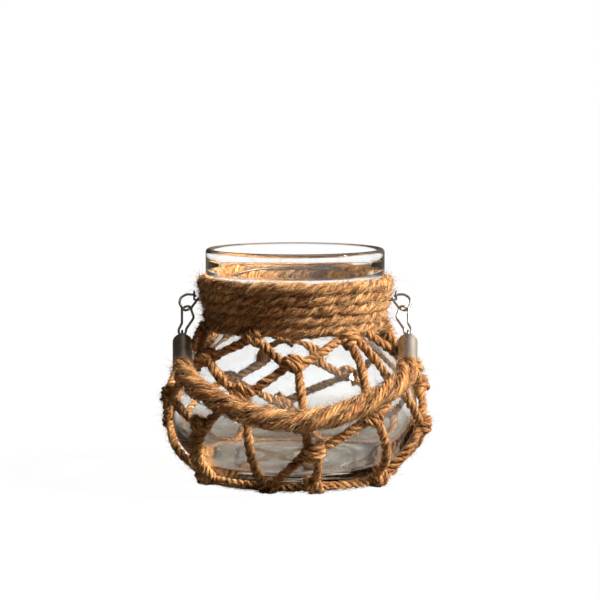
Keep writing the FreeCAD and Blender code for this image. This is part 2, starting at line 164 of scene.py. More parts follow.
def evenly(points, step):
    """The same line with its points a step apart, and how far along it each one is."""
    p = np.asarray(points, float)
    run = np.r_[0, np.cumsum(np.linalg.norm(np.diff(p, axis=0), axis=1))]
    s = np.linspace(0, run[-1], max(3, int(round(run[-1] / step)) + 1))
    return np.column_stack([np.interp(s, run, p[:, k]) for k in range(3)]), s


FIRST_SIDE = (0.3, 0.2, 1.0)   # no rope here starts along this direction


def cross_directions(p):
    """The line's direction and two directions across it that don't spin about it."""
    along = unit(np.gradient(p, axis=0))
    side = np.empty_like(along)
    v = np.array(FIRST_SIDE, float)
    for i, t in enumerate(along):
        v = v - t * np.dot(v, t)
        v = v / np.linalg.norm(v)
        side[i] = v
    return along, side, np.cross(along, side)


OUTSIDE = np.vstack([
    smooth_through(OUTER_BODY, 240),
    run_of((NECK_RADIUS, NECK_HEIGHT), (NECK_TOP_RADIUS, FLARE_TOP))[1:],
])
OUTSIDE_SLOPE = unit(np.gradient(OUTSIDE, axis=0))


def glass_at(height):
    """Radius of the jar's outside at this height, and its outward direction (r, z)."""
    z = np.clip(height, 0, FLARE_TOP)
    r = np.interp(z, OUTSIDE[:, 1], OUTSIDE[:, 0])
    dr = np.interp(z, OUTSIDE[:, 1], OUTSIDE_SLOPE[:, 0])
    dz = np.interp(z, OUTSIDE[:, 1], OUTSIDE_SLOPE[:, 1])
    return r, dz, -dr


def on_glass(angle, height, off):
    """Points at these angles from the front, off the glass by this much."""
    r, out_r, out_z = glass_at(height)
    t = np.radians(angle)
    far = r + out_r * off
    return np.stack([far * np.sin(t), -far * np.cos(t), height + out_z * off], axis=-1)


def outward(p):
    """The direction away from the glass at points near it."""
    r, out_r, out_z = glass_at(p[..., 2])
    around = np.maximum(np.hypot(p[..., 0], p[..., 1]), 1e-9)
    return unit(np.stack(
        [p[..., 0] / around * out_r, p[..., 1] / around * out_r, out_z + 0 * around], axis=-1))


def lifted(p, gap):
    """The points, with those nearer to the glass than gap moved out to it."""
    for _ in range(2):
        r, out_r, out_z = glass_at(p[..., 2])
        off = (np.hypot(p[..., 0], p[..., 1]) - r) * out_r
        p = p + outward(p) * np.maximum(gap - off, 0)[..., None]
    p[..., 2] = np.maximum(p[..., 2], FLOOR_GAP)
    return p


def clear_by(gap):
    """A function that moves points out until they clear the glass by gap."""
    return lambda p: lifted(p, gap)


# --- meshes ---------------------------------------------------------------------
def mesh_piece(name, points, faces, material, slot, body="jar", replaces=(), marks=None):
    """A smooth-shaded piece from points in millimetres, riding on its body."""
    mesh = bpy.data.meshes.new(name)
    mesh.from_pydata((np.asarray(points) * MM).tolist(), [], faces)
    mesh.polygons.foreach_set("use_smooth", np.ones(len(mesh.polygons), bool))
    for key, values in (marks or {}).items():
        values = np.asarray(values, np.float32)
        kind, field = ("FLOAT_VECTOR", "vector") if values.ndim == 2 else ("FLOAT", "value")
        mesh.attributes.new(key, kind, "POINT").data.foreach_set(field, values.ravel())
    mesh.materials.append(material)
    mesh.update()
    piece = bpy.data.objects.new(name, mesh)
    bpy.context.scene.collection.objects.link(piece)
    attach(piece, body)
    if replaces:
        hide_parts(*replaces)
    return piece


class Parts:
    """Points, faces and marks of several shells, gathered into one mesh."""

    def __init__(self):
        self.points, self.faces, self.marks, self.count = [], [], {}, 0

    def add(self, points, faces, marks):
        self.points.append(points)
        self.faces += [tuple(i + self.count for i in face) for face in faces]
        for key, values in marks.items():
            self.marks.setdefault(key, []).append(values)
        self.count += len(points)

    def piece(self, name, material, slot, **options):
        marks = {key: np.concatenate(values) for key, values in self.marks.items()}
        return mesh_piece(name, np.vstack(self.points), self.faces, material, slot,
                          marks=marks, **options)


def tube_faces(rings, sides):
    """Quads between rings of points, and a face at each end."""
    i = np.arange(rings - 1)[:, None] * sides
    j = np.arange(sides)[None, :]
    k = (j + 1) % sides
    quads = np.stack([i + j, i + k, i + k + sides, i + j + sides], axis=-1).reshape(-1, 4)
    start = tuple(range(sides - 1, -1, -1))
    end = tuple(range((rings - 1) * sides, rings * sides))
    return [tuple(q) for q in quads.tolist()] + [start, end]


def wandering(s, rng, wave, amount):
    """A smooth random wander along s: three sines of about this wave length."""
    total = 0
    for share in (1.0, 0.61, 0.37):
        total = total + share * np.sin(2 * np.pi * s / (wave * share) + rng.uniform(0, 2 * np.pi))
    return amount * total / 1.2


STRAND_SHARE, STRAND_REACH = 0.50, 0.52   # strand radius and offset, in rope radii
FIBRE_RUN = 2.2                           # length of one fibre's bump along a strand
GROOVE_SHARP, GROOVE_MEAN = 0.7, 0.72     # shape and average of the ridges between yarns
STRAND_OFFSET = 61.7                      # keeps two strands' colour streaks apart


def add_rope(parts, line, s, radius, rng, strands=3, lay=12.0, sides=16, yarns=5,
             size=None, fixed=None, loose=0.05, rough=0.06, relief=0.16):
    """Adds a laid rope's strands along a line: each strand goes round the line once per
    lay, and its own yarns turn the other way. fixed() may move the finished points."""
    _, side, other = cross_directions(line)
    size = np.ones(len(s)) if size is None else size
    strand_radius, reach = radius * STRAND_SHARE, radius * STRAND_REACH
    theta = np.arange(sides) * 2 * np.pi / sides
    start = rng.uniform(0, 2 * np.pi)
    for strand in range(strands):
        turn = start + 2 * np.pi * (strand / strands + s / lay)
        turn = turn + wandering(s, rng, lay * 2.3, 0.10)
        out = np.cos(turn)[:, None] * side + np.sin(turn)[:, None] * other
        far = (reach * size * (1 + wandering(s, rng, lay * 1.7, loose)))[:, None]
        middle = line + out * far
        forward = unit(np.gradient(middle, axis=0))
        across = unit(np.cross(forward, out))
        out = np.cross(across, forward)
        twist = -2 * np.pi * s / lay * (reach / strand_radius) + rng.uniform(0, 2 * np.pi)
        yarn = theta[None, :] + twist[:, None]
        fibre = rng.normal(size=(len(s), sides))
        width = max(3, int(round(FIBRE_RUN / (s[1] - s[0]))))
        window = np.hanning(width + 2)[1:-1]
        window = window / window.sum()
        fibre = np.apply_along_axis(lambda c: np.convolve(c, window, "same"), 0, fibre)
        fibre = fibre / fibre.std()
        shift = np.round(twist / (2 * np.pi) * sides).astype(int)
        pick = (np.arange(sides)[None, :] + shift[:, None]) % sides
        fibre = np.take_along_axis(fibre, pick, axis=1)
        ridge = np.abs(np.cos(yarns / 2 * yarn)) ** GROOVE_SHARP - GROOVE_MEAN
        grow = size * (1 + wandering(s, rng, lay * 1.3, 0.045))
        r = strand_radius * grow[:, None] * (1 + relief * ridge + rough * fibre)
        points = (middle[:, None, :]
                  + (r * np.cos(theta))[..., None] * out[:, None, :]
                  + (r * np.sin(theta))[..., None] * across[:, None, :])
        straight = np.stack([
            strand_radius * np.cos(yarn), strand_radius * np.sin(yarn),
            (s + STRAND_OFFSET * strand + rng.uniform(0, 500))[:, None] + 0 * yarn], axis=-1)
        # painted shade: this mark is lowest on each strand's inner side, where the strands press
        # together, and in the grooves between yarns; jute() darkens the colour by it
        painted_crevice_shade = 0.5 + 0.5 * np.cos(theta)[None, :] + 0.5 * ridge + 0.07 * fibre
        points = points.reshape(-1, 3)
        if fixed is not None:
            points = fixed(points)
        parts.add(points, tube_faces(len(s), sides),
                  {"straight": straight.reshape(-1, 3), "painted_crevice_shade": painted_crevice_shade.reshape(-1)})


def add_fibres(parts, roots, outs, alongs, rng, length, rise, thick, fixed=None, bend=0.5,
               curl=0.0, joints=6):
    """Adds stray fibres, one from each root: thin three-sided hairs that start along the
    rope, rise off it by about rise (a slope) and bend. curl turns them back towards it."""
    count = len(roots)
    span = rng.uniform(length[0], length[1], count) * rng.uniform(0.45, 1.0, count)
    way = rng.choice([-1.0, 1.0], count)[:, None]
    side = np.cross(outs, alongs)
    slope = rng.uniform(rise[0], rise[1], count)[:, None]
    lean = rng.normal(0, 0.32, count)[:, None]
    start = unit(alongs * way + outs * slope + side * lean)
    drift = rng.normal(0, 1, (count, 3)) + outs * rng.uniform(-0.9, 0.5, count)[:, None]
    drift = unit(drift) * bend * rng.uniform(0.2, 1.0, count)[:, None]
    u = np.linspace(0, 1, joints)[None, :, None]
    reach = span[:, None, None]
    path = roots[:, None, :] + reach * (start[:, None, :] * u + drift[:, None, :] * u ** 2)
    path = path - outs[:, None, :] * (reach * u) ** 2 * curl
    if fixed is not None:
        path = fixed(path)
    forward = unit(np.gradient(path, axis=1))
    a = unit(np.cross(forward, unit(rng.normal(0, 1, (count, 1, 3)))))
    b = np.cross(forward, a)
    size = rng.uniform(thick[0], thick[1], count)[:, None] * (1 - 0.75 * u[0, :, 0] ** 1.5)
    rings = []
    for k in range(3):
        t = 2 * np.pi * k / 3
        rings.append(path + size[..., None] * (math.cos(t) * a + math.sin(t) * b))
    points = np.stack(rings, axis=2).reshape(-1, 3)
    pattern = np.array([q for q in tube_faces(joints, 3) if len(q) == 4])
    ends = np.array([[2, 1, 0], [3 * joints - 3, 3 * joints - 2, 3 * joints - 1]])
    base = (np.arange(count) * 3 * joints)[:, None, None]
    faces = [tuple(q) for q in (pattern[None] + base).reshape(-1, 4).tolist()]
    faces += [tuple(q) for q in (ends[None] + base).reshape(-1, 3).tolist()]
    tone = np.repeat(rng.uniform(0, 1, count), 3 * joints)
    parts.add(points, faces, {"tone": tone})


def roots_on(line, radius, count, rng, facing=None, lay=None):
    """Random places on a rope's outside: points, outward directions, and directions along
    it, or along its strands if its lay is given.
    facing(points) may give directions that the places have to look towards."""
    along, side, other = cross_directions(line)
    i = rng.integers(1, len(line) - 1, count * 2)
    angle = rng.uniform(0, 2 * np.pi, count * 2)
    out = np.cos(angle)[:, None] * side[i] + np.sin(angle)[:, None] * other[i]
    if facing is not None:
        keep = np.sum(out * facing(line[i]), axis=1) > -0.25
        i, out = i[keep], out[keep]
    i, out = i[:count], out[:count]
    way = along[i]
    if lay is not None:
        way = unit(way + np.cross(way, out) * (2 * np.pi * radius * 0.75 / lay))
    return line[i] + out * radius * 0.95, out, way


# --- materials --------------------------------------------------------------------
class Nodes:
    """The node tree of a new material, or of the world if one is given, with short calls
    for the nodes used here."""

    def __init__(self, name, world=None):
        self.material = None if world else bpy.data.materials.new(name)
        owner = world or self.material
        owner.use_nodes = True
        self.tree = owner.node_tree
        self.tree.nodes.clear()
        self.out = self.add("ShaderNodeOutputWorld" if world else "ShaderNodeOutputMaterial")

    def add(self, kind, settings=None, **inputs):
        node = self.tree.nodes.new(kind)
        for key, value in (settings or {}).items():
            setattr(node, key, value)
        for key, value in inputs.items():
            self.put(node.inputs[key.replace("_", " ")], value)
        return node

    def put(self, socket, value):
        if isinstance(value, bpy.types.NodeSocket):
            self.tree.links.new(value, socket)
        else:
            socket.default_value = value

    def maths(self, operation, a, b=0.0):
        node = self.add("ShaderNodeMath", {"operation": operation})
        self.put(node.inputs[0], a)
        self.put(node.inputs[1], b)
        return node.outputs[0]

    def mark(self, name, output="Vector"):
        return self.add("ShaderNodeAttribute", {"attribute_name": name}).outputs[output]

    def place(self):
        return self.add("ShaderNodeTexCoord").outputs["Object"]

    def scaled(self, vector, scale):
        node = self.add("ShaderNodeMapping", {"vector_type": "POINT"})
        self.put(node.inputs["Vector"], vector)
        node.inputs["Scale"].default_value = scale
        return node.outputs[0]

    def noise(self, vector, scale, detail, rough):
        node = self.add("ShaderNodeTexNoise", Vector=vector, Scale=scale, Detail=detail,
                        Roughness=rough)
        return node.outputs["Fac"]

    def spread(self, value, low, high, to_low=0.0, to_high=1.0):
        node = self.add("ShaderNodeMapRange", {"clamp": True})
        for key, number in (("Value", value), ("From Min", low), ("From Max", high),
                            ("To Min", to_low), ("To Max", to_high)):
            self.put(node.inputs[key], number)
        return node.outputs["Result"]

    def ramp(self, value, stops):
        node = self.add("ShaderNodeValToRGB")
        self.put(node.inputs["Fac"], value)
        while len(node.color_ramp.elements) < len(stops):
            node.color_ramp.elements.new(0.5)
        for element, (place, colour) in zip(node.color_ramp.elements, stops):
            element.position = place
            element.color = (*colour, 1)
        return node.outputs["Color"]

    def mix(self, share, a, b, blend="MIX"):
        node = self.add("ShaderNodeMix", {"data_type": "RGBA", "blend_type": blend})
        self.put(node.inputs[0], share)
        self.put(node.inputs[6], a)
        self.put(node.inputs[7], b)
        return node.outputs[2]

    def bump(self, height, distance, strength):
        node = self.add("ShaderNodeBump", Height=height, Distance=distance, Strength=strength)
        return node.outputs["Normal"]

    def finish(self, **inputs):
        shader = self.add("ShaderNodeBsdfPrincipled")
        for key, value in inputs.items():
            self.put(shader.inputs[key.replace("_", " ")], value)
        self.tree.links.new(shader.outputs[0], self.out.inputs["Surface"])
        return shader

    def share_surface(self, share, first, second):
        """Shows the second shader by this share, and the first for the rest."""
        both = self.add("ShaderNodeMixShader")
        for socket, value in zip(both.inputs, (share, first.outputs[0], second.outputs[0])):
            self.put(socket, value)
        self.tree.links.new(both.outputs[0], self.out.inputs["Surface"])


def jute(name, dark, middle, light, streaks=1.0):
    """Twisted plant fibre: long streaks of colour and relief along each yarn, with painted shade
    darkening the grooves between yarns and the strands' inner sides.
    """
    n = Nodes(name)
    straight = n.mark("straight")
    fine = n.noise(n.scaled(straight, (1, 1, 0.20)), 2.3 * streaks, 4.0, 0.62)
    broad = n.noise(n.scaled(straight, (1, 1, 0.22)), 0.9 * streaks, 2.0, 0.5)
    patches = n.noise(n.place(), 85.0, 2.0, 0.5)
    painted_crevice_shade = n.mark("painted_crevice_shade", "Fac")
    tone = n.maths("ADD", n.maths("MULTIPLY", fine, 0.62), n.maths("MULTIPLY", broad, 0.38))
    tone = n.maths("ADD", tone, n.maths("MULTIPLY", n.maths("SUBTRACT", patches, 0.5), 0.25))
    colour = n.ramp(n.spread(tone, 0.37, 0.63), [(0.0, dark), (0.45, middle), (1.0, light)])
    # painted shade: the colour is multiplied down to 0.08 in the strands' crevices and on their
    # inner sides
    shade = n.spread(painted_crevice_shade, 0.10, 0.95, 0.08, 1.0)
    colour = n.mix(1.0, colour, n.add("ShaderNodeCombineColor", Red=shade, Green=shade,
                                      Blue=shade).outputs[0], "MULTIPLY")
    height = n.maths("ADD", n.maths("MULTIPLY", fine, 0.7), n.maths("MULTIPLY", broad, 0.3))
    n.finish(Base_Color=colour, Roughness=n.spread(fine, 0.3, 0.7, 0.95, 0.72),
             Normal=n.bump(height, 0.0006, 1.0), Sheen_Weight=0.08,
             Sheen_Tint=(0.95, 0.75, 0.5, 1), Specular_IOR_Level=0.25)
    return n.material


def stray_fibre(name, dark, light):
    """Loose hairs of the rope, each in its own tone."""
    n = Nodes(name)
    stops = [(0.0, dark), (0.35, dark), (0.75, light), (1.0, light)]
    colour = n.ramp(n.mark("tone", "Fac"), stops)
    patches = n.noise(n.place(), 220.0, 2.0, 0.5)
    colour = n.mix(n.spread(patches, 0.35, 0.7, 0.0, 0.5), colour, (*dark, 1))
    n.finish(Base_Color=colour, Roughness=0.6, Sheen_Weight=0.1, Specular_IOR_Level=0.3)
    return n.material


def steel(name, light, dark, rough, brushed=(1, 1, 1)):
    """Plated steel with fine draw marks, dull patches and darker rubbed places."""
    n = Nodes(name)
    place = n.place()
    marks = n.noise(n.scaled(place, brushed), 900.0, 3.0, 0.6)
    patches = n.noise(place, 240.0, 4.0, 0.6)
    colour = n.mix(n.spread(patches, 0.35, 0.72), (*light, 1), (*dark, 1))
    roughness = n.maths("ADD", n.spread(patches, 0.3, 0.75, rough - 0.07, rough + 0.14),
                        n.maths("MULTIPLY", marks, 0.08))
    n.finish(Base_Color=colour, Metallic=1.0, Roughness=roughness,
             Normal=n.bump(marks, 0.00004, 0.6))
    return n.material


def clear_glass(name):
    """Pressed soda glass: faintly wavy, with painted shade low down, a streaky grey-brown tint that
    stands in for the darkness seen through the thick base, and open to lamps so that they light
    what is behind it, less so under the neck."""
    n = Nodes(name)
    place = n.place()
    waves = n.noise(n.scaled(place, (1, 1, 1.6)), 38.0, 1.0, 0.4)
    split = n.add("ShaderNodeSeparateXYZ", Vector=place)
    # painted shade: below 40 mm the glass's colour turns to a streaky grey-brown, fully so under 12
    # mm
    low = n.spread(split.outputs[2], 0.040, 0.012)
    streaks = n.noise(n.scaled(place, (1, 1, 3.4)), 34.0, 3.0, 0.6)
    painted_base_shade = n.maths("MULTIPLY", low, n.spread(streaks, 0.38, 0.62, 0.15, 1.0))
    tint_with_painted_base_shade = n.mix(painted_base_shade, (0.972, 0.982, 0.978, 1), (0.66, 0.59, 0.52, 1))
    shader = n.finish(Base_Color=tint_with_painted_base_shade, Roughness=0.0, IOR=1.5,
                      Transmission_Weight=1.0, Normal=n.bump(waves, 0.0006, 0.5))
    path = n.add("ShaderNodeLightPath")
    high = n.spread(split.outputs[2], 0.066, 0.080)
    shade = n.mix(high, (0.93, 0.95, 0.94, 1), (0.70, 0.67, 0.63, 1))
    through = n.add("ShaderNodeBsdfTransparent", Color=shade)
    n.share_surface(path.outputs["Is Shadow Ray"], shader, through)
    return n.material


WRAP_JUTE = jute("wrap_jute", (0.085, 0.028, 0.008), (0.43, 0.19, 0.060), (0.88, 0.54, 0.24))
NET_JUTE = jute("net_jute", (0.080, 0.026, 0.008), (0.44, 0.18, 0.055), (0.86, 0.49, 0.20))
HANDLE_JUTE = jute("handle_jute", (0.085, 0.026, 0.007), (0.46, 0.178, 0.052),
                   (0.90, 0.53, 0.22), 0.8)
FIBRE = stray_fibre("stray_jute", (0.15, 0.052, 0.015), (0.92, 0.60, 0.28))
GLASS = clear_glass("clear_glass")
FERRULE = steel("ferrule_steel", (0.60, 0.58, 0.54), (0.34, 0.32, 0.29), 0.30, (1, 8, 8))
CLIP = steel("clip_steel", (0.50, 0.51, 0.48), (0.20, 0.20, 0.18), 0.27)
DARK_STEEL = steel("dark_steel", (0.28, 0.27, 0.25), (0.10, 0.095, 0.085), 0.36)


# --- the glass ----------------------------------------------------------------------
LIP_OUTSIDE, LIP_INSIDE = 1.8, 1.7   # how far down the lip's rounding reaches
KNEE = 4.6                           # the mouth is straight from the lip down to here
WEDGE = 2.1                          # how much narrower the mouth is at the band's foot
NECK_EXTRA = 0.4                     # how much thicker the top of the neck is than WALL
BEAD = 0.45                          # how far the band's lower edge bulges


def glass_outline():
    """Half of the jar's section, from the middle of the base round to the middle of the
    floor inside, with points close together at its corners."""
    rim_in = RIM_RADIUS - RIM_WALL
    flare_out = (NECK_TOP_RADIUS, FLARE_TOP)
    flare_in = (NECK_TOP_RADIUS - WALL - NECK_EXTRA, RIM_BOTTOM - 4.0)
    band_low, band_high = (RIM_RADIUS, RIM_BOTTOM + 1.0), (RIM_RADIUS, JAR_HEIGHT - LIP_OUTSIDE)
    bead = ((flare_out[0] + band_low[0]) / 2 + BEAD, RIM_BOTTOM - 0.3)
    lip_in, knee = (rim_in, JAR_HEIGHT - LIP_INSIDE), (rim_in, JAR_HEIGHT - KNEE)
    bore_low = (rim_in - WEDGE, RIM_BOTTOM)
    neck_in = (NECK_RADIUS - WALL, NECK_HEIGHT)
    runs = [
        arc_through((0, PUNT_DEPTH), (PUNT_RADIUS * 0.55, PUNT_DEPTH * 0.7), (PUNT_RADIUS, 0), 20),
        run_of((PUNT_RADIUS, 0), OUTER_BODY[0], 1.0),
        smooth_through(OUTER_BODY, 110),
        run_of((NECK_RADIUS, NECK_HEIGHT), flare_out, 1.2),
        arc_through(flare_out, bead, band_low, 9),
        run_of(band_low, band_high, 0.8),
        arc_through(band_high, ((rim_in + RIM_RADIUS) / 2, JAR_HEIGHT), lip_in, 15),
        run_of(lip_in, knee, 0.8),
        run_of(knee, bore_low, 0.8),
        run_of(bore_low, flare_in, 0.8),
        run_of(flare_in, neck_in, 1.2),
        smooth_through(INNER_BODY, 100)[::-1],
        run_of(INNER_BODY[0], (0, BASE_THICKNESS), 2.0),
    ]
    outline = np.vstack([runs[0]] + [run[1:] for run in runs[1:]])
    for _ in range(2):
        outline[1:-1] = outline[1:-1] * 0.5 + (outline[:-2] + outline[2:]) * 0.25
    return outline


def glass_jar(segments=224):
    """The outline turned about the jar's axis and closed at both ends on it."""
    outline = glass_outline()
    outline[0, 0] = outline[-1, 0] = 0
    rows = outline[1:-1]
    angle = np.arange(segments) * 2 * np.pi / segments
    points = np.stack([
        rows[:, 0:1] * np.cos(angle), rows[:, 0:1] * np.sin(angle),
        rows[:, 1:2] + 0 * angle], axis=-1).reshape(-1, 3)
    quads = [face for face in tube_faces(len(rows), segments) if len(face) == 4]
    last = len(points)
    points = np.vstack([points, [(0, 0, outline[0, 1]), (0, 0, outline[-1, 1])]])
    low = [(last, (k + 1) % segments, k) for k in range(segments)]
    top = (len(rows) - 1) * segments
    high = [(last + 1, top + k, top + (k + 1) % segments) for k in range(segments)]
    mesh_piece("clear_glass_jar", points, quads + low + high, GLASS, "clear_glass",
               replaces=["glass_jar"])


# --- rope round the neck ---------------------------------------------------------
WRAP_LAY = -25.0
WRAP_START = 135.0
WRAP_SHORT = 26          # degrees by which the last turn falls short
JOG_FROM, JOG_SPAN = 318, 42   # where in a turn, in degrees, it steps down, and over how many
WRAP_POINTS = 4000
WRAP_STEP = 0.80
END_TAPER = 9.0


def wrap_line():
    """Level turns that step down to the next one at the back of the neck."""
    angle = np.linspace(0, WRAP_TURNS * 360 - WRAP_SHORT, WRAP_POINTS)
    turn = np.floor(angle / 360)
    jog = np.clip((angle - turn * 360 - JOG_FROM) / JOG_SPAN, 0, 1)
    jog = jog * jog * (3 - 2 * jog)
    height = WRAP_TOP - WRAP_ROPE / 2 - WRAP_PITCH * (turn + jog)
    return on_glass(angle + WRAP_START, height, WRAP_ROPE / 2 + WRAP_GAP)


def neck_wrap():
    """The wrap's rope, and three kinds of stray fibre from flat and thick to thin and wild."""
    rng = np.random.default_rng(11)
    line, s = evenly(wrap_line(), WRAP_STEP)
    line[:, 2] += wandering(s, rng, 41.0, 0.35)
    line = line + outward(line) * wandering(s, rng, 23.0, 0.35)[:, None]
    line = lifted(line, WRAP_ROPE / 2 + WRAP_STRAND_GAP)
    end = np.minimum(s, s[-1] - s)
    size = 0.25 + 0.75 * np.sqrt(np.clip(end / END_TAPER, 0, 1))
    parts = Parts()
    add_rope(parts, line, s, WRAP_ROPE / 2 * 1.16, rng, lay=WRAP_LAY, sides=16, yarns=5,
             size=size, fixed=clear_by(WRAP_STRAND_GAP), loose=0.14, rough=0.10, strands=4,
             relief=0.26)
    parts.piece("neck_wrap", WRAP_JUTE, "wrap_jute", replaces=["neck_wrap_rope"])

    for number, (count, length, rise, thick, bend, curl) in enumerate((
            (5200, (2.0, 6.5), (0.02, 0.35), (0.10, 0.20), 0.30, 0.050),
            (5200, (2.0, 7.5), (0.05, 0.60), (0.06, 0.13), 0.50, 0.035),
            (4600, (2.5, 9.5), (0.2, 1.3), (0.035, 0.075), 0.75, 0.0)), 1):
        hairs = Parts()
        roots, outs, alongs = roots_on(line, WRAP_ROPE / 2 * 1.13, count, rng, facing=outward,
                                       lay=WRAP_LAY)
        add_fibres(hairs, roots, outs, alongs, rng, length, rise, thick,
                   fixed=clear_by(FIBRE_GAP), bend=bend, curl=curl)
        hairs.piece(f"neck_wrap_fibres_{number}", FIBRE, "wrap_jute")


# --- the net ------------------------------------------------------------------------
SPAN_POINTS = 40                 # points from one knot of a cord to the next
NET_STEP = 0.6
TUFT_ENDS = (4, 8, 11, 14)       # a fibre piece ends with each of these cords


def net_line(exit_angle, stops):
    """A net cord pulled tight over the glass from knot to knot."""
    angles, heights = [exit_angle], [CORD_TOP + UNDER_WRAP]
    for name, place in stops:
        angle, height = KNOTS[name]
        height = min(height, KNOT_TOP)
        centre = on_glass(angle, height, CORD_OFF)
        around = math.hypot(centre[0], centre[1])
        angle += math.degrees(place * (NET_CORD + 0.3) / around)
        while angle - angles[-1] > 180:
            angle -= 360
        while angles[-1] - angle > 180:
            angle += 360
        angles.append(angle)
        heights.append(height)
    corners = np.column_stack([angles, heights])
    share = np.linspace(0, 1, SPAN_POINTS)[1:, None]
    rows = [corners[:1]]
    for a, b in zip(corners, corners[1:]):
        rows.append(a + (b - a) * share)
    rows = np.vstack(rows)
    line = on_glass(rows[:, 0], rows[:, 1], CORD_OFF)
    held = np.arange(1, len(corners)) * (SPAN_POINTS - 1)
    places = line[held].copy()
    for _ in range(60):
        line[1:-1] = line[1:-1] * 0.4 + (line[:-2] + line[2:]) * 0.3
        line[held] = line[held] * 0.6 + places * 0.4
        line = lifted(line, CORD_OFF - 0.35)
    return line


def knot_line(name, rng):
    """One turn and a bit of the cord, bound slantwise round the cords in a knot. At knots
    b4 and b6 it was measured about 3 mm outside the CAD's plainer swelling."""
    angle, height = KNOTS[name]
    height = min(height, KNOT_TOP)
    centre = on_glass(angle, height, CORD_OFF + 0.5)
    out = outward(centre)
    east = np.array([math.cos(math.radians(angle)), math.sin(math.radians(angle)), 0.0])
    up = np.cross(east, out)
    up = up * np.sign(up[2])
    tilt = math.radians(rng.choice([-1, 1]) * rng.uniform(12, 34))
    if name.startswith("e"):
        tilt += math.pi / 2
    across = east * math.cos(tilt) + up * math.sin(tilt)
    climb = np.cross(out, across)
    t = np.linspace(-0.12, rng.uniform(1.35, 1.75), 90) * 2 * np.pi
    grow = rng.uniform(0.92, 1.06)
    wide, deep, pitch = 0.86 * NET_CORD * grow, 0.66 * NET_CORD * grow, 0.82 * NET_CORD
    middle = t.mean()
    return (centre + np.outer(-np.cos(t) * wide, across) + np.outer(np.sin(t) * deep, out)
            + np.outer((t - middle) / (2 * np.pi) * pitch, climb))


def net():
    """The net's cords, each with the knots that it is the first to tie, and the foot ring."""
    rng = np.random.default_rng(23)
    tied = set()
    hairs, tufts = Parts(), 0
    for number, (exit_angle, stops) in enumerate(CORDS, 1):
        parts = Parts()
        lines = [net_line(exit_angle, stops)]
        for name, _ in stops:
            if name not in tied:
                tied.add(name)
                lines.append(knot_line(name, rng))
        for index, raw in enumerate(lines):
            line, s = evenly(raw, NET_STEP)
            lay = rng.uniform(10.5, 13.5)
            size = 1 + wandering(s, rng, 17.0, 0.07)
            add_rope(parts, line, s, NET_CORD / 2, rng, lay=lay, sides=14, size=size,
                     yarns=3, fixed=clear_by(TWINE_GAP), loose=0.10, rough=0.075)
            count = int(s[-1] * (5.0 if index == 0 else 6.5))
            roots, outs, alongs = roots_on(line, NET_CORD / 2, count, rng, facing=outward, lay=lay)
            add_fibres(hairs, roots, outs, alongs, rng, (1.5, 5.5), (0.03, 0.45), (0.04, 0.09),
                       fixed=clear_by(FIBRE_GAP), bend=0.35, curl=0.05, joints=5)
            count = int(s[-1] * 1.5)
            roots, outs, alongs = roots_on(line, NET_CORD / 2, count, rng, facing=outward)
            add_fibres(hairs, roots, outs, alongs, rng, (2.0, 8.0), (0.3, 1.6), (0.03, 0.06),
                       fixed=clear_by(FIBRE_GAP), bend=0.8, joints=5)
        parts.piece(f"net_twine_{number:02d}", NET_JUTE, "net_jute",
                    replaces=[f"net_cord_{number:02d}"])
        if number in TUFT_ENDS:
            tufts += 1
            hairs.piece(f"net_fibres_{tufts}", FIBRE, "net_jute")
            hairs = Parts()
    foot = on_glass(np.linspace(0, 360, 721), np.full(721, FOOT_HEIGHT), CORD_OFF)
    line, s = evenly(foot, NET_STEP)
    parts = Parts()
    add_rope(parts, line, s, NET_CORD / 2, rng, lay=11.5, sides=14, yarns=3,
             fixed=clear_by(TWINE_GAP))
    parts.piece("foot_ring_twine", NET_JUTE, "net_jute", replaces=["foot_ring_cord"])
    roots, outs, alongs = roots_on(line, NET_CORD / 2, 2200, rng, facing=outward)
    add_fibres(hairs, roots, outs, alongs, rng, (1.5, 6.0), (0.05, 0.9), (0.04, 0.08),
               fixed=clear_by(FIBRE_GAP), curl=0.03, joints=5)
    hairs.piece("foot_ring_fibres", FIBRE, "net_jute")


# --- the handle ------------------------------------------------------------------
def route_points(name, corners):
    """Points along the smooth spline whose control points are these corners."""
    curve = bpy.data.curves.new(name, "CURVE")
    curve.dimensions = "3D"
    spline = curve.splines.new("NURBS")
    spline.points.add(len(corners) - 1)
    for point, corner in zip(spline.points, corners):
        point.co = (corner[0] * MM, corner[1] * MM, corner[2] * MM, 1)
    spline.order_u = 3
    spline.use_endpoint_u = True
    curve.resolution_u = 24
    holder = bpy.data.objects.new(name, curve)
    bpy.context.scene.collection.objects.link(holder)
    bpy.context.view_layer.update()
    graph = bpy.context.evaluated_depsgraph_get()
    mesh = bpy.data.meshes.new_from_object(holder.evaluated_get(graph))
    points = np.array([v.co for v in mesh.vertices]) / MM
    bpy.data.objects.remove(holder)
    bpy.data.curves.remove(curve)
    bpy.data.meshes.remove(mesh)
    return points


HANDLE_LAY = -44.0
HANDLE_STEP = 0.42
IN_FERRULE = 5.0       # how much of the rope is inside each ferrule


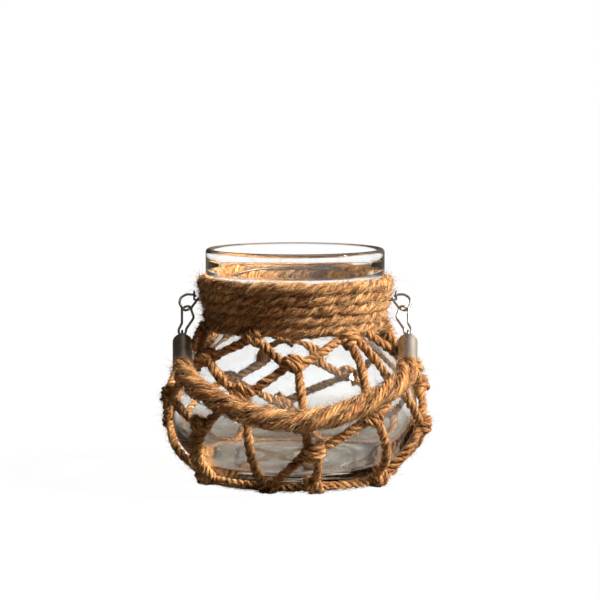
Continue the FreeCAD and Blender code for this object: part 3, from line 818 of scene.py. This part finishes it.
def handle():
    """The handle's laid rope, thinner where the ferrules hold it, and its stray fibres."""
    rng = np.random.default_rng(37)
    route = route_points("handle_route", HANDLE_ROUTE)
    left_axis = FERRULE_AXIS * (-1, 1, 1)
    full = np.vstack([route[0] - left_axis * IN_FERRULE, route,
                      route[-1] - FERRULE_AXIS * IN_FERRULE])
    line, s = evenly(full, HANDLE_STEP)
    end = np.minimum(s, s[-1] - s)
    swell = np.clip((end - IN_FERRULE + 0.3) / 3.5, 0, 1)
    size = 0.83 + 0.19 * swell * swell * (3 - 2 * swell)
    parts = Parts()
    add_rope(parts, line, s, HANDLE_ROPE / 2, rng, lay=HANDLE_LAY, sides=44, yarns=8, size=size,
             loose=0.06, rough=0.06, relief=0.26)
    rope = parts.piece("handle_laid_rope", HANDLE_JUTE, "handle_jute", body="handle",
                       replaces=["handle_rope"])
    held = int((IN_FERRULE + 0.6) / HANDLE_STEP)
    clear = line[held:-held]
    for number, (count, length, rise, thick, bend, curl) in enumerate((
            (2300, (2.0, 8.0), (0.01, 0.30), (0.07, 0.16), 0.30, 0.022),
            (2300, (2.5, 9.5), (0.1, 1.3), (0.035, 0.08), 0.7, 0.0)), 1):
        hairs = Parts()
        roots, outs, alongs = roots_on(clear, HANDLE_ROPE / 2, count, rng, lay=HANDLE_LAY)
        add_fibres(hairs, roots, outs, alongs, rng, length, rise, thick, bend=bend, curl=curl)
        hairs.piece(f"handle_fibres_{number}", FIBRE, "handle_jute", body="handle")


def metal():
    """The CAD nodes of metal keep their shapes and get their finishes."""
    finishes = {"neck_wire": DARK_STEEL}
    for side in ("left", "right"):
        finishes[f"{side}_ferrule"] = FERRULE
        finishes[f"{side}_ferrule_eye"] = DARK_STEEL
        finishes[f"{side}_clip"] = CLIP
        finishes[f"{side}_neck_eye"] = DARK_STEEL
    for node, finish in finishes.items():
        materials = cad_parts[node].data.materials
        materials.clear()
        materials.append(finish)


# --- studio ---------------------------------------------------------------------
FLOOR_HALF = 40.0                          # metres
SUN_AZIMUTH, SUN_HEIGHT, SUN_ANGLE = 75, 38, 11
CAMERA_PLACE, CAMERA_DIP = (2.4, -1200.0, 198.0), 5.22


def pale_floor():
    """White paper under bright light: it glows to the eye and, further from the jar, through the
    glass; nearer the jar, through the glass, it stays dark as a painted shadow. As a surface that
    lights the jar it is dark, so little light comes up from it."""
    n = Nodes("pale_floor")
    split = n.add("ShaderNodeSeparateXYZ", Vector=n.place())
    x, y = split.outputs[0], split.outputs[1]
    away = n.maths("SQRT", n.maths("ADD", n.maths("MULTIPLY", x, x), n.maths("MULTIPLY", y, y)))
    # painted shadow: seen through the glass, the floor stays dark within 0.10 m of the jar's axis
    # and brightens to its glow by 0.34 m
    glow_past_painted_shadow = n.spread(away, 0.10, 0.34, 0.0, 1.0)
    path = n.add("ShaderNodeLightPath")
    direct = n.maths("LESS_THAN", path.outputs["Diffuse Depth"], 0.5)
    through = n.maths("MULTIPLY", n.maths("MULTIPLY", path.outputs["Is Transmission Ray"], direct),
                      glow_past_painted_shadow)
    seen = n.maths("MULTIPLY", path.outputs["Is Camera Ray"], 0.90)
    glow = n.add("ShaderNodeEmission", Color=(1, 1, 1, 1), Strength=1.09)
    paper = n.finish(Base_Color=(0.17, 0.155, 0.135, 1), Roughness=0.9, Specular_IOR_Level=0.0)
    n.share_surface(n.maths("MAXIMUM", seen, through), paper, glow)
    return n.material


def studio_light(world):
    """Dim warm light that is stronger from the right, and plain white for what the camera
    sees of it, straight or through the glass."""
    n = Nodes("studio", world)
    path = n.add("ShaderNodeLightPath")
    split = n.add("ShaderNodeSeparateXYZ",
                  Vector=n.add("ShaderNodeTexCoord").outputs["Generated"])
    fade = n.add("ShaderNodeMapRange", {"interpolation_type": "SMOOTHSTEP"},
                 Value=split.outputs[0], From_Min=-0.3, From_Max=1.0, To_Min=0.016, To_Max=0.30)
    direct = n.maths("LESS_THAN", path.outputs["Diffuse Depth"], 0.5)
    clear = n.maths("MULTIPLY", path.outputs["Is Transmission Ray"], direct)
    inside = n.maths("GREATER_THAN", path.outputs["Transmission Depth"], 0.5)
    edge = n.maths("MULTIPLY", n.maths("MULTIPLY", inside, direct), 0.7)
    seen = n.maths("MAXIMUM", path.outputs["Is Camera Ray"], n.maths("MAXIMUM", clear, edge))
    mirror = n.maths("ADD", n.maths("MULTIPLY", path.outputs["Is Glossy Ray"], 2.2), 1.0)
    dim = n.add("ShaderNodeBackground", Color=(1.0, 0.84, 0.66, 1),
                Strength=n.maths("MULTIPLY", fade.outputs["Result"], mirror))
    white = n.add("ShaderNodeBackground", Color=(1, 1, 1, 1), Strength=1.0)
    n.share_surface(seen, dim, white)


def studio():
    """The floor, the world's light and a low warm sun on the right."""
    scene = bpy.context.scene
    scene.view_settings.view_transform = "Standard"
    floor_mesh = bpy.data.meshes.new("floor")
    far = FLOOR_HALF
    floor_mesh.from_pydata([(-far, -far, 0), (far, -far, 0), (far, far, 0), (-far, far, 0)], [],
                           [(0, 1, 2, 3)])
    floor = bpy.data.objects.new("floor", floor_mesh)
    scene.collection.objects.link(floor)
    floor_mesh.materials.append(pale_floor())

    world = bpy.data.worlds.new("studio")
    scene.world = world
    studio_light(world)

    key = bpy.data.lights.new("key", "SUN")
    key.energy = 9.0
    key.color = (1.0, 0.95, 0.88)
    key.angle = math.radians(SUN_ANGLE)
    lamp = bpy.data.objects.new("key", key)
    azimuth, height = math.radians(SUN_AZIMUTH), math.radians(SUN_HEIGHT)
    towards = Vector((math.sin(azimuth) * math.cos(height), -math.cos(azimuth) * math.cos(height),
                      math.sin(height)))
    lamp.rotation_mode = "QUATERNION"
    lamp.rotation_quaternion = towards.to_track_quat("Z", "Y")
    scene.collection.objects.link(lamp)


def camera():
    data = bpy.data.cameras.new("camera")
    data.sensor_width = 36.0
    data.lens = 146.9
    data.clip_start, data.clip_end = 0.05, 200.0
    eye = bpy.data.objects.new("camera", data)
    bpy.context.scene.collection.objects.link(eye)
    eye.location = Vector(CAMERA_PLACE) * MM
    eye.rotation_euler = (math.radians(90 - CAMERA_DIP), 0, 0)
    bpy.context.scene.camera = eye


studio()
camera()
handle()
glass_jar()
neck_wrap()
net()
metal()


bpy.context.view_layer.update()
